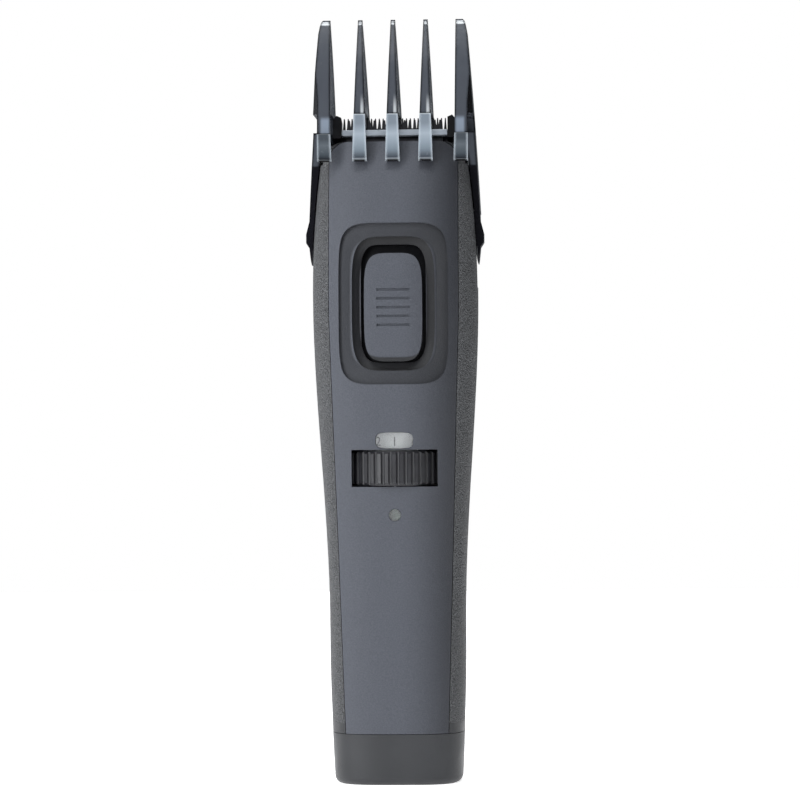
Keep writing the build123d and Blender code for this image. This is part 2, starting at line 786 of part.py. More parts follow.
def arc_between(a, b, bulge):
    """An arc from a to b in the YZ plane that bows out by a bulge to the left of the way it goes."""
    share = bulge / math.dist(a, b)
    y = (a[0] + b[0]) / 2 - share * (b[1] - a[1])
    z = (a[1] + b[1]) / 2 + share * (b[0] - a[0])
    return ThreePointArc((0, *a), (0, y, z), (0, *b))


def line_through(points):
    return Polyline(*[(0, y, z) for y, z in points])


def fin_profile(x0, x1, ledge, leg_low):
    """A tooth seen from the side: a leg in front, an arch over the cutter and a foot behind it."""
    cavity_top = body_height + comb_cavity_rise
    tip_front, tip_rear = (fin_tip_y - 0.9, comb_top - 0.9), (fin_tip_y + 1.1, comb_top - 0.9)
    shoulder = (back_y(body_height, 3.2), body_height + 7)
    foot_out = (back_y(comb_back_low, 2.6), comb_back_low)
    foot_in = (back_y(comb_back_low, 0.6), comb_back_low)
    arch_rear = (back_y(body_height, 0.7), body_height)
    arch_top = (back_y(body_height, -2.3), cavity_top)
    edges = [
        line_through([arch_top, (leg_back_y + 1.0, cavity_top)]),
        arc_between((leg_back_y + 1.0, cavity_top), (leg_back_y, cavity_top - 1.0), -0.3),
        line_through([(leg_back_y, cavity_top - 1.0), (leg_back_y, leg_low), (leg_front_y + 0.5, leg_low)]),
        arc_between((leg_front_y + 0.5, leg_low), (leg_front_y, leg_low + 0.7), -0.15),
        line_through([(leg_front_y, leg_low + 0.7), (leg_front_y, ledge), (leg_front_y + 0.9, ledge)]),
        arc_between((leg_front_y + 0.9, ledge), tip_front, 0.9),
        ThreePointArc((0, *tip_front), (0, fin_tip_y, comb_top), (0, *tip_rear)),
        arc_between(tip_rear, shoulder, 1.6),
        arc_between(shoulder, foot_out, 0.5),
        line_through([foot_out, foot_in]),
        line_through([foot_in, arch_rear]),
        arc_between(arch_rear, arch_top, -1.0),
    ]
    face = make_face(edges)
    return Pos(x0, 0, 0) * extrude(face, amount=x1 - x0, dir=(1, 0, 0))


def inner_fin(x):
    profile_solid = fin_profile(x - 3, x + 3, ledge_z, leg_bottom)
    low, high = comb_back_low, comb_top
    taper = polygon_xz([(x - fin_width(low) / 2, low), (x + fin_width(low) / 2, low),
                        (x + fin_width(high) / 2, high), (x - fin_width(high) / 2, high)], -30, 30)
    return profile_solid & taper


def side_outline(low):
    heights = [low + (comb_top - 4 - low) * i / 6 for i in range(7)]
    return [(comb_half_width(z), z) for z in heights]


def side_wall():
    """The comb's side seen from the side: the arm in front and the wall that runs back behind the head."""
    low = body_height - arm_drop
    rear = back_y(comb_back_low, 2.6)
    bend = 4.0
    corner = 3.0
    top = body_height + 3
    edges = [
        line_through([(rear - 2, top), (arm_front_y, top), (arm_front_y, low + corner)]),
        arc_between((arm_front_y, low + corner), (arm_front_y + corner, low), -0.29 * corner),
        line_through([(arm_front_y + corner, low), (arm_back_y - corner, low)]),
        arc_between((arm_back_y - corner, low), (arm_back_y, low + corner), -0.29 * corner),
        line_through([(arm_back_y, low + corner), (arm_back_y, comb_back_low - bend)]),
        arc_between((arm_back_y, comb_back_low - bend), (arm_back_y + bend, comb_back_low), 0.29 * bend),
        line_through([(arm_back_y + bend, comb_back_low), (rear, comb_back_low),
                      (back_y(body_height, 3.4), body_height), (rear - 2, top)]),
    ]
    return Pos(10, 0, 0) * extrude(make_face(edges), amount=20, dir=(1, 0, 0))


def flank():
    """What is cut from the front of a comb side, so that its leg is narrow and its side slopes back."""
    outline = [(leg_outer_x, -30), (leg_outer_x, leg_back_y), (leg_outer_x + 3.9, arm_front_y + 1.6), (40, -30)]
    face = make_face(Polyline(*[(x, y, body_height - 20) for x, y in outline], close=True))
    return extrude(face, amount=60, dir=(0, 0, 1))


def comb_side():
    low = body_height - arm_drop
    tab_z = body_height - tab_drop
    outer = side_outline(comb_back_low)
    tip_x = comb_half_width(comb_top)
    tip = [(tip_x - 0.15, comb_top - 1.6), (tip_x - 0.45, comb_top - 0.7), (tip_x - 1.0, comb_top)]
    inner = [(outer_fin_inner + 0.3, comb_top), (outer_fin_inner, outer_ledge_z),
             (outer_fin_inner - 0.3, leg_bottom), (outer_fin_inner - 0.3, comb_back_low)]
    fin = polygon_xz(outer + tip + inner, -30, 30) & fin_profile(10, 30, outer_ledge_z, leg_bottom)
    fin = fin - flank()
    tab_x = comb_half_width(tab_z) + tab_reach
    end = [(half_width(low) + arm_gap + 0.15, low), (tab_x - tab_reach - 0.2, tab_z - 2.4),
           (tab_x, tab_z - 1.0), (tab_x, tab_z + 1.4)]
    upper = [(comb_half_width(z), z) for z in (tab_z + 5, tab_z + 12, tab_z + 20, body_height + 3)]
    wall_front = polygon_xz([(10, low)] + end + upper + [(10, body_height + 3)], -30, 30)
    return fin + (wall_front & side_wall())


def comb():
    low = body_height - arm_drop
    clearance = form(-arm_gap, low - 2, body_height + comb_cavity_rise)
    rear = block(-20, 20, 4, 30, comb_back_low, comb_back_high)
    plate = form(-1.0 - comb_plate_thickness, comb_back_low, comb_back_high) & rear
    whole = plate - form(-1.0, comb_back_low - 1, comb_back_high + 1)
    for side in both_sides(comb_side()):
        whole = whole + side
    whole = whole - clearance
    for x in (-fin_spacing, 0, fin_spacing):
        whole = whole + inner_fin(x)
    # tongues run in the side grooves and plug into the carriage ears
    half = channel_half_width - slide_gap
    for side in (-1, 1):
        tongue = block(side * (groove_floor + slide_gap), side * 23.0, guide_y - half, guide_y + half,
                       ear_top + 0.2, ear_top + 10)
        peg = block(side * 20.45, side * 21.35, guide_y - 2.0, guide_y + 2.0, ear_top - 4.5, ear_top + 0.4)
        whole = whole + tongue + peg
    return whole


# ---------------------------------------------------------------- all the pieces
left_grip, right_grip = side_grips()
shutter = switch_shutter()
for rib in shutter_fork():
    shutter = shutter + rib
makers = {
    "front_cover": front_cover(),
    "left_grip": left_grip,
    "right_grip": right_grip,
    "rear_housing": rear_housing(),
    "case_screws": case_screws(),
    "base_cap": base_cap(),
    "inlet_socket": inlet_socket(),
    "inlet_pins": inlet_pins(),
    "chassis": chassis(),
    "battery_cells": battery_cells(),
    "cell_contacts": cell_contacts(),
    "charge_board": charge_board(),
    "charge_led": charge_led(),
    "indicator_lens": indicator_lens(),
    "circuit_board": circuit_board(),
    "switch_body": switch_body(),
    "switch_lever": switch_lever(),
    "switch_button": switch_button(),
    "switch_shutter": shutter,
    "length_dial": length_dial(),
    "scale_ring": scale_ring(),
    "dial_screw": dial_screw(),
    "dial_axle": dial_axle(),
    "dial_click_spring": dial_click_spring(),
    "scale_window": scale_window(),
    "carriage": carriage(),
    "follower_pin": follower_pin(),
    "motor_can": motor_can(),
    "motor_end_cap": motor_end_cap(),
    "motor_bushing": motor_bushing(),
    "motor_shaft": motor_shaft(),
    "eccentric": eccentric(),
    "drive_arm": drive_arm(),
    "fixed_blade": fixed_blade(),
    "moving_blade": moving_blade(),
    "guide_bar": guide_bar(),
    "blade_frame": blade_frame(),
    "blade_screws": blade_screws(),
    "head_frame": head_frame(),
    "head_seal": head_seal(),
    "comb": comb(),
}

os.makedirs("parts", exist_ok=True)
for name, shape in makers.items():
    export_step(shape, f"parts/{name}.step")
    print(name, round(shape.volume))
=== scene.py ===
import json
import math
import bpy
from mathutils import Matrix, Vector


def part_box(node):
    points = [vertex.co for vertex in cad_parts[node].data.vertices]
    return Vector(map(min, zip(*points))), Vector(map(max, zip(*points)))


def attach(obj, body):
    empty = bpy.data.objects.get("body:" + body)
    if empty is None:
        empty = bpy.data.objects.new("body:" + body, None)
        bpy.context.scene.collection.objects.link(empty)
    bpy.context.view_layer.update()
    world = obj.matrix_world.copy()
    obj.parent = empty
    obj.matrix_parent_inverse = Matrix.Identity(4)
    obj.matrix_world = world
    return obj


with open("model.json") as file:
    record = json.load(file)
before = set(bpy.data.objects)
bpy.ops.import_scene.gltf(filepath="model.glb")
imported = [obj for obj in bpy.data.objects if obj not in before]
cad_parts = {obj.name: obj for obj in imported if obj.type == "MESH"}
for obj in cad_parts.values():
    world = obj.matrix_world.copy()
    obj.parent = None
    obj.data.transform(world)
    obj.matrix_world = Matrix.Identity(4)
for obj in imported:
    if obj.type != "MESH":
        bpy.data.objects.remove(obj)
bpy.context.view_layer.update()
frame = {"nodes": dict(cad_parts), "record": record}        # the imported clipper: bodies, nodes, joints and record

nodes = frame["nodes"]
mm = 0.001
scene = bpy.context.scene
scene.view_settings.view_transform = "Standard"
scene.view_settings.look = "None"

studio = {
    "lens": 140.0,            # long lens, little perspective
    "distance": 0.862,
    "azimuth": 2.7,           # degrees towards the right of the front
    "aimHeight": 0.1053,
    "aimSide": 0.0009,
    "roll": 0.45,
    "floorSize": 1.7,
    "floorColour": (0.93, 0.93, 0.93, 1),
    "worldSeen": (1.0, 1.0, 1.0, 1),
    "worldLight": (0.62, 0.65, 0.70, 1),
    "worldLeft": 0.55,        # strength of the room's light from the left and from the right
    "worldRight": 0.10,
    "floorGlow": 0.8,         # keeps the floor as pale as the room behind it
    "boxAim": (0, 0, 0.12),
    "coolLight": (0.96, 0.98, 1.0),
    "softboxes": {            # place, size and power in watts
        "keyLeft": ((-0.75, -1.0, 0.45), (0.4, 0.9), 11),
        "frontTop": ((-0.15, -0.8, 1.2), (0.7, 0.4), 9.5),
        "topStrip": ((-0.1, 0.25, 0.95), (0.8, 0.3), 4),
        "rearLeft": ((-0.85, 0.25, 0.3), (0.15, 0.9), 4),
        "rearRight": ((0.85, 0.2, 0.3), (0.06, 0.9), 1.2),
    },
}


def pointAt(thing, target):
    thing.rotation_mode = "QUATERNION"
    thing.rotation_quaternion = (Vector(target) - thing.location).to_track_quat("-Z", "Y")


def addCamera():
    cameraData = bpy.data.cameras.new("studioCamera")
    cameraData.lens = studio["lens"]
    cameraData.sensor_width = 36
    cameraData.clip_end = 100
    camera = bpy.data.objects.new("studioCamera", cameraData)
    scene.collection.objects.link(camera)
    turn = math.radians(studio["azimuth"])
    aim = Vector((studio["aimSide"], 0, studio["aimHeight"]))
    camera.location = aim + Vector((math.sin(turn), -math.cos(turn), 0)) * studio["distance"]
    camera.rotation_mode = "XYZ"
    camera.rotation_euler = (math.radians(90), math.radians(studio["roll"]), turn)
    scene.camera = camera


def addSoftbox(name, place, size, power):
    data = bpy.data.lights.new(name, "AREA")
    data.shape = "RECTANGLE"
    data.size, data.size_y = size
    data.energy = power
    data.color = studio["coolLight"] if place[1] < 0 else (1, 1, 1)
    box = bpy.data.objects.new(name, data)
    box.location = place
    scene.collection.objects.link(box)
    pointAt(box, studio["boxAim"])


def addWorld():
    world = bpy.data.worlds.new("paleRoom")
    scene.world = world
    world.use_nodes = True
    tree = world.node_tree
    tree.nodes.clear()
    out = tree.nodes.new("ShaderNodeOutputWorld")
    mix = tree.nodes.new("ShaderNodeMixShader")
    seen = tree.nodes.new("ShaderNodeBackground")
    light = tree.nodes.new("ShaderNodeBackground")
    path = tree.nodes.new("ShaderNodeLightPath")
    seen.inputs["Color"].default_value = studio["worldSeen"]
    light.inputs["Color"].default_value = studio["worldLight"]
    coords = tree.nodes.new("ShaderNodeTexCoord")
    split = tree.nodes.new("ShaderNodeSeparateXYZ")
    tree.links.new(coords.outputs["Generated"], split.inputs[0])
    sides = tree.nodes.new("ShaderNodeMapRange")
    sides.inputs["From Min"].default_value = -0.6
    sides.inputs["From Max"].default_value = 0.5
    sides.inputs["To Min"].default_value = studio["worldLeft"]
    sides.inputs["To Max"].default_value = studio["worldRight"]
    tree.links.new(split.outputs[0], sides.inputs["Value"])
    tree.links.new(sides.outputs["Result"], light.inputs["Strength"])
    tree.links.new(path.outputs["Is Camera Ray"], mix.inputs[0])
    tree.links.new(light.outputs[0], mix.inputs[1])
    tree.links.new(seen.outputs[0], mix.inputs[2])
    tree.links.new(mix.outputs[0], out.inputs[0])


def addFloor():
    half = studio["floorSize"] / 2
    mesh = bpy.data.meshes.new("floor")
    corners = [(-half, -half, 0), (half, -half, 0), (half, half, 0), (-half, half, 0)]
    mesh.from_pydata(corners, [], [(0, 1, 2, 3)])
    floor = bpy.data.objects.new("floor", mesh)
    scene.collection.objects.link(floor)
    material = bpy.data.materials.new("paleFloor")
    material.use_nodes = True
    shader = material.node_tree.nodes["Principled BSDF"]
    shader.inputs["Base Color"].default_value = studio["floorColour"]
    shader.inputs["Roughness"].default_value = 0.7
    shader.inputs["Emission Color"].default_value = (1, 1, 1, 1)
    shader.inputs["Emission Strength"].default_value = studio["floorGlow"]
    mesh.materials.append(material)


print("stage: camera, lights and floor")
addCamera()
addWorld()
addFloor()
for boxName, settings in studio["softboxes"].items():
    addSoftbox(boxName, *settings)


# finishes: each gets mottled colour, uneven roughness and a bump at its own scale
def newFinish(name):
    material = bpy.data.materials.new(name)
    material.use_nodes = True
    tree = material.node_tree
    return material, tree, tree.nodes["Principled BSDF"]


def objectCoords(tree, stretch=(1, 1, 1)):
    coords = tree.nodes.new("ShaderNodeTexCoord")
    mapping = tree.nodes.new("ShaderNodeMapping")
    mapping.inputs["Scale"].default_value = stretch
    tree.links.new(coords.outputs["Object"], mapping.inputs["Vector"])
    return mapping.outputs["Vector"]


def addNoise(tree, vector, scale, detail=4.0, roughness=0.5):
    noise = tree.nodes.new("ShaderNodeTexNoise")
    noise.inputs["Scale"].default_value = scale
    noise.inputs["Detail"].default_value = detail
    noise.inputs["Roughness"].default_value = roughness
    tree.links.new(vector, noise.inputs["Vector"])
    return noise.outputs["Fac"]


def addRamp(tree, value, stops):
    ramp = tree.nodes.new("ShaderNodeValToRGB")
    ramp.color_ramp.elements[0].position, ramp.color_ramp.elements[0].color = stops[0]
    ramp.color_ramp.elements[1].position, ramp.color_ramp.elements[1].color = stops[-1]
    for position, colour in stops[1:-1]:
        ramp.color_ramp.elements.new(position).color = colour
    tree.links.new(value, ramp.inputs["Fac"])
    return ramp.outputs["Color"]


def grey(level):
    return (level, level, level, 1)


def linkColour(tree, shader, value, colours, start, end):
    low, high = colours
    stops = [(start, (*low, 1)), (end, (*high, 1))]
    tree.links.new(addRamp(tree, value, stops), shader.inputs["Base Color"])


def linkRoughness(tree, shader, value, start, end, low, high):
    stops = [(start, grey(low)), (end, grey(high))]
    tree.links.new(addRamp(tree, value, stops), shader.inputs["Roughness"])


def addBump(tree, shader, height, strength, distance):
    bump = tree.nodes.new("ShaderNodeBump")
    bump.inputs["Strength"].default_value = strength
    bump.inputs["Distance"].default_value = distance
    tree.links.new(height, bump.inputs["Height"])
    tree.links.new(bump.outputs["Normal"], shader.inputs["Normal"])


# small arithmetic helpers, so that a finish can follow the shape of its piece
def math1(tree, operation, a, b=0.0, clamp=False):
    node = tree.nodes.new("ShaderNodeMath")
    node.operation = operation
    node.use_clamp = clamp
    for socket, value in zip(node.inputs, (a, b)):
        if isinstance(value, (int, float)):
            socket.default_value = value
        else:
            tree.links.new(value, socket)
    return node.outputs[0]


def product(tree, first, *others):
    for other in others:
        first = math1(tree, "MULTIPLY", first, other)
    return first


def oneMinus(tree, value):
    return math1(tree, "SUBTRACT", 1.0, value)


# 0 below low, 1 above high (or the other way round), smooth in between
def between(tree, value, low, high):
    node = tree.nodes.new("ShaderNodeMapRange")
    node.interpolation_type = "SMOOTHSTEP"
    node.inputs["From Min"].default_value = min(low, high)
    node.inputs["From Max"].default_value = max(low, high)
    node.inputs["To Min"].default_value = 0.0 if low < high else 1.0
    node.inputs["To Max"].default_value = 1.0 if low < high else 0.0
    tree.links.new(value, node.inputs["Value"])
    return node.outputs["Result"]


def blendColours(tree, share, first, second, mode="MIX"):
    node = tree.nodes.new("ShaderNodeMix")
    node.data_type = "RGBA"
    node.blend_type = mode
    for index, value in ((0, share), (6, first), (7, second)):
        if isinstance(value, (int, float, tuple)):
            node.inputs[index].default_value = value
        else:
            tree.links.new(value, node.inputs[index])
    return node.outputs[2]


# 1 on a rounded square outline, less inside it
def squareDistance(tree, x, z, halfWidth, halfHeight, power):
    terms = []
    for value, half in ((x, halfWidth), (z, halfHeight)):
        share = math1(tree, "DIVIDE", math1(tree, "ABSOLUTE", value), half)
        terms.append(math1(tree, "POWER", share, power))
    return math1(tree, "POWER", math1(tree, "ADD", *terms), 1 / power)


# the rings round the switch slope inwards like shallow funnels, and painted shade darkens them
def addSlopesAndShade(tree, shader, vector, look):
    place = tree.nodes.new("ShaderNodeSeparateXYZ")
    tree.links.new(vector, place.inputs[0])
    z = math1(tree, "SUBTRACT", place.outputs[2], look["middle"])
    height = 0.0
    colour = shader.inputs["Base Color"].links[0].from_socket
    for halfWidth, halfHeight, power, inner, depth, ringShadeStrength in look["rings"]:
        distance = squareDistance(tree, place.outputs[0], z, halfWidth, halfHeight, power)
        ring = tree.nodes.new("ShaderNodeMapRange")
        ring.inputs["From Min"].default_value = inner
        ring.inputs["From Max"].default_value = 1.0
        ring.inputs["To Min"].default_value = -depth
        ring.inputs["To Max"].default_value = 0.0
        tree.links.new(distance, ring.inputs["Value"])
        height = math1(tree, "ADD", ring.outputs["Result"], height)
        # painted shade on the sloping ring walls
        ringShadeMask = product(tree, between(tree, distance, 1.01, 0.99),
                         between(tree, distance, inner - 0.04, inner), ringShadeStrength)
        colour = blendColours(tree, ringShadeMask, colour, look["paintedShadeColour"])
    # painted shade: the cover gets darker towards the right side, away from the light
    turned = product(tree, between(tree, place.outputs[0], 0.0, look["sideReach"]), look["sideShadeStrength"])
    colour = blendColours(tree, turned, colour, look["paintedShadeColour"])
    tree.links.new(colour, shader.inputs["Base Color"])
    slope = tree.nodes.new("ShaderNodeBump")
    slope.inputs["Strength"].default_value = 1.0
    slope.inputs["Distance"].default_value = 1.0
    tree.links.new(height, slope.inputs["Height"])
    grainBump = next(link.from_node for link in tree.links if link.to_socket == shader.inputs["Normal"])
    tree.links.new(slope.outputs["Normal"], grainBump.inputs["Normal"])


def mouldedPlastic(name, look):
    material, tree, shader = newFinish(name)
    vector = objectCoords(tree)
    mottle = addNoise(tree, vector, look["mottleScale"], 3)
    linkColour(tree, shader, mottle, look["colours"], 0.3, 0.7)
    wear = addNoise(tree, vector, look["mottleScale"] * 4, 5)
    rough, uneven = look["roughness"], look["uneven"]
    linkRoughness(tree, shader, wear, 0.3, 0.7, rough - uneven, rough + uneven)
    grain = addNoise(tree, vector, look["grainScale"], look["grainDetail"], 0.6)
    addBump(tree, shader, grain, look["grainStrength"], look["grainDepth"])
    if "slopes" in look:
        addSlopesAndShade(tree, shader, vector, look["slopes"])
    shader.inputs["IOR"].default_value = 1.48
    shader.inputs["Specular IOR Level"].default_value = look["specular"]
    return material


def workedMetal(name, look):
    material, tree, shader = newFinish(name)
    vector = objectCoords(tree, look["stretch"])
    streaks = addNoise(tree, vector, look["streakScale"], 6, 0.7)
    linkColour(tree, shader, streaks, look["colours"], 0.25, 0.75)
    rough = look["roughness"]
    linkRoughness(tree, shader, streaks, 0.2, 0.8, rough - 0.08, rough + 0.08)
    addBump(tree, shader, streaks, look["bump"], 0.00003)
    shader.inputs["Metallic"].default_value = look["metallic"]
    return material


def smokyPlastic(name, look):
    material, tree, shader = newFinish(name)
    vector = objectCoords(tree)
    cloud = addNoise(tree, vector, 90, 3)
    linkColour(tree, shader, cloud, look["colours"], 0.3, 0.7)
    handling = addNoise(tree, vector, 450, 5)
    linkRoughness(tree, shader, handling, 0.35, 0.75, look["roughness"] * 0.5, look["roughness"] * 1.6)
    ripple = addNoise(tree, vector, 260, 2)
    addBump(tree, shader, ripple, 0.06, 0.0002)
    shader.inputs["Transmission Weight"].default_value = look["clear"]
    shader.inputs["IOR"].default_value = 1.5
    shader.inputs["Coat Weight"].default_value = look["coat"]
    shader.inputs["Coat Roughness"].default_value = 0.04
    return material


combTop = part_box("comb")[1][2]
combLook = {
    "core": (0.050, 0.055, 0.066, 1),      # the smoky faces of the teeth
    "cloudy": (0.085, 0.092, 0.105, 1),
    "edgeShade": (0.004, 0.004, 0.005, 1),      # painted shade where the plastic turns away
    "inside": (0.62, 0.64, 0.66, 1),       # painted pale light seen through the flanks between the teeth, which are partly clear
    "insideAlpha": 0.22,
    "shoulderLight": (0.17, 0.20, 0.245, 1),       # painted light on the shoulders above the outer ledges
    # painted black shade on the side arms
    "arms": (0.006, 0.006, 0.008, 1),
    "glint": (0.75, 0.78, 0.80, 1),
    "toothPitch": 0.009,
    "sideStart": 0.0145,                   # the comb's sides begin this far from its middle
    "innerLedge": combTop - 26.65 * mm,
    "outerLedge": combTop - 32.05 * mm,
    "legBottom": combTop - 39.55 * mm,
    "legFront": -0.0117,
    # painted highlight on the legs' side rims, then the legs' paler tone with painted bands of light and shade from
    # foot to ledge
    "legRimHighlight": (0.42, 0.46, 0.50, 1),
    "legLightAndShade": [(0.0, (0.006, 0.006, 0.007, 1)), (0.03, (0.01, 0.011, 0.013, 1)),
                  (0.05, (0.20, 0.22, 0.24, 1)), (0.08, (0.04, 0.046, 0.057, 1)),
                  (0.25, (0.14, 0.17, 0.20, 1)), (0.58, (0.26, 0.30, 0.34, 1)),
                  (0.80, (0.15, 0.175, 0.205, 1)), (0.97, (0.15, 0.175, 0.205, 1)),
                  (1.0, (0.36, 0.39, 0.41, 1))],
    "outerLegShade": 0.32,
    "roughness": 0.2,
    "clear": 0.05,
    "specular": 0.06,
    "edgeWidth": 0.0011,
}


# how far the rounded normal leans away from the true one: high along every edge, where painted shade goes, and on
# the side rims, where the legs get painted highlights
def combRims(tree):
    rounded = tree.nodes.new("ShaderNodeBevel")
    rounded.samples = 6
    rounded.inputs["Radius"].default_value = combLook["edgeWidth"]
    shape = tree.nodes.new("ShaderNodeNewGeometry")
    lean = tree.nodes.new("ShaderNodeVectorMath")
    lean.operation = "DOT_PRODUCT"
    tree.links.new(rounded.outputs["Normal"], lean.inputs[0])
    tree.links.new(shape.outputs["True Normal"], lean.inputs[1])
    rim = between(tree, lean.outputs["Value"], 0.995, 0.95)
    direction = tree.nodes.new("ShaderNodeSeparateXYZ")
    tree.links.new(rounded.outputs["Normal"], direction.inputs[0])
    sideways = math1(tree, "ABSOLUTE", direction.outputs[0])
    return rim, product(tree, rim, between(tree, sideways, 0.1, 0.3))


# the teeth's smoky face, with a painted catch light low on each inner tooth and a painted highlight at every tip
def toothColour(tree, vector, x, z, outer):
    look = combLook
    cloud = addNoise(tree, vector, 160, 3)
    core = blendColours(tree, product(tree, cloud, 0.35), look["core"], look["cloudy"])
    pitch = look["toothPitch"]
    nearest = product(tree, math1(tree, "ROUND", math1(tree, "DIVIDE", x, pitch)), pitch)
    offset = math1(tree, "SUBTRACT", x, nearest)
    ledge = look["innerLedge"]
    catchLight = product(tree, between(tree, offset, 0.0001, 0.0006), between(tree, offset, 0.0015, 0.0011),
                    between(tree, z, ledge + 0.0061, ledge + 0.0006), oneMinus(tree, outer))
    # painted catch light low on each inner tooth
    core = blendColours(tree, product(tree, catchLight, 0.5), core, look["glint"])
    # painted highlight at each tip
    tipHighlight = product(tree, between(tree, z, combTop - 0.0016, combTop - 0.0013),
                  between(tree, z, combTop - 0.0004, combTop - 0.0006))
    return blendColours(tree, product(tree, tipHighlight, 0.8), core, look["glint"])


# where painted light goes on the shoulders at the front of the comb's sides
def onShoulder(tree, across, y, z):
    ledge = combLook["outerLedge"]
    return product(tree, between(tree, across, 0.0168, 0.0178), between(tree, across, 0.0200, 0.0192),
                   between(tree, z, ledge, ledge + 0.0005), between(tree, z, ledge + 0.0052, ledge + 0.0036),
                   math1(tree, "LESS_THAN", y, combLook["legFront"] + 0.003))


# the legs: a paler frosted tone with painted bands of light and shade from foot to ledge and painted highlights on
# their side rims, darker on the comb's sides
def legColour(tree, z, ledge, outer, sideRimHighlight):
    look = combLook
    rise = math1(tree, "DIVIDE", math1(tree, "SUBTRACT", z, look["legBottom"]),
                 math1(tree, "SUBTRACT", ledge, look["legBottom"]), True)
    leg = addRamp(tree, rise, look["legLightAndShade"])
    shade = oneMinus(tree, product(tree, outer, 1 - look["outerLegShade"]))
    dimmed = tree.nodes.new("ShaderNodeVectorMath")
    dimmed.operation = "SCALE"
    tree.links.new(leg, dimmed.inputs[0])
    tree.links.new(shade, dimmed.inputs["Scale"])
    # painted highlights along the legs' side rims
    return blendColours(tree, product(tree, sideRimHighlight, 0.6), dimmed.outputs[0], look["legRimHighlight"])


# smoked clear plastic: painted black shade on the edges, outer sides and arms, grey faces with painted highlights,
# paler legs in front of the cutter with painted bands of light and shade
def combPlastic(name):
    look = combLook
    material, tree, shader = newFinish(name)
    coords = tree.nodes.new("ShaderNodeTexCoord")
    vector = coords.outputs["Object"]
    place = tree.nodes.new("ShaderNodeSeparateXYZ")
    facing = tree.nodes.new("ShaderNodeSeparateXYZ")
    tree.links.new(vector, place.inputs[0])
    tree.links.new(coords.outputs["Normal"], facing.inputs[0])
    x, y, z = place.outputs
    across = math1(tree, "ABSOLUTE", x)
    turned = math1(tree, "ABSOLUTE", facing.outputs[0])
    rim, sideRimHighlight = combRims(tree)
    outer = between(tree, across, look["sideStart"], look["sideStart"] + 0.0005)
    ledgeDrop = product(tree, outer, look["innerLedge"] - look["outerLedge"])
    ledge = math1(tree, "SUBTRACT", look["innerLedge"], ledgeDrop)
    # the flanks between the teeth are clear and carry painted pale light as if seen through them; the bevelled
    # edges and the outer sides get painted black shade
    outward = math1(tree, "GREATER_THAN", product(tree, math1(tree, "SIGN", x), facing.outputs[0]), 0.0)
    outerSideShadeMask = product(tree, outward, between(tree, across, 0.0155, 0.0160))
    flank = between(tree, turned, 0.80, 0.95)
    # painted pale light on the flanks between the teeth
    upper = blendColours(tree, flank, toothColour(tree, vector, x, z, outer), look["inside"])
    # painted black shade on the comb's outward-facing sides
    upper = blendColours(tree, product(tree, outerSideShadeMask, between(tree, turned, 0.5, 0.7)), upper, look["edgeShade"])
    # painted black shade along every edge
    upper = blendColours(tree, rim, upper, look["edgeShade"])
    # painted light on the shoulders
    upper = blendColours(tree, onShoulder(tree, across, y, z), upper, look["shoulderLight"])
    onLeg = product(tree, between(tree, y, look["legFront"], look["legFront"] - 0.0003),
                    math1(tree, "LESS_THAN", z, math1(tree, "ADD", ledge, 0.00005)))
    # the legs, with their painted light and shade
    whole = blendColours(tree, onLeg, upper, legColour(tree, z, ledge, outer, sideRimHighlight))
    # painted black shade over the side arms, which look black edge-on
    arms = between(tree, z, look["legBottom"] - 0.0002, look["legBottom"] - 0.0008)
    whole = blendColours(tree, arms, whole, look["arms"])
    tree.links.new(whole, shader.inputs["Base Color"])
    # flanks and backs above the ledges let the light through, away from dark rims and outer sides
    backward = between(tree, facing.outputs[1], 0.3, 0.6)
    clear = product(tree, math1(tree, "MAXIMUM", flank, backward),
                    oneMinus(tree, rim), oneMinus(tree, outerSideShadeMask),
                    between(tree, z, look["innerLedge"] - 0.0004, look["innerLedge"] + 0.0002))
    opaque = oneMinus(tree, product(tree, clear, 1 - look["insideAlpha"]))
    tree.links.new(opaque, shader.inputs["Alpha"])
    handling = addNoise(tree, vector, 450, 5)
    linkRoughness(tree, shader, handling, 0.35, 0.75, look["roughness"] * 0.6, look["roughness"] * 1.5)
    addBump(tree, shader, addNoise(tree, vector, 260, 2), 0.05, 0.0002)
    shader.inputs["Transmission Weight"].default_value = look["clear"]
    shader.inputs["Specular IOR Level"].default_value = look["specular"]
    shader.inputs["IOR"].default_value = 1.5
    return material


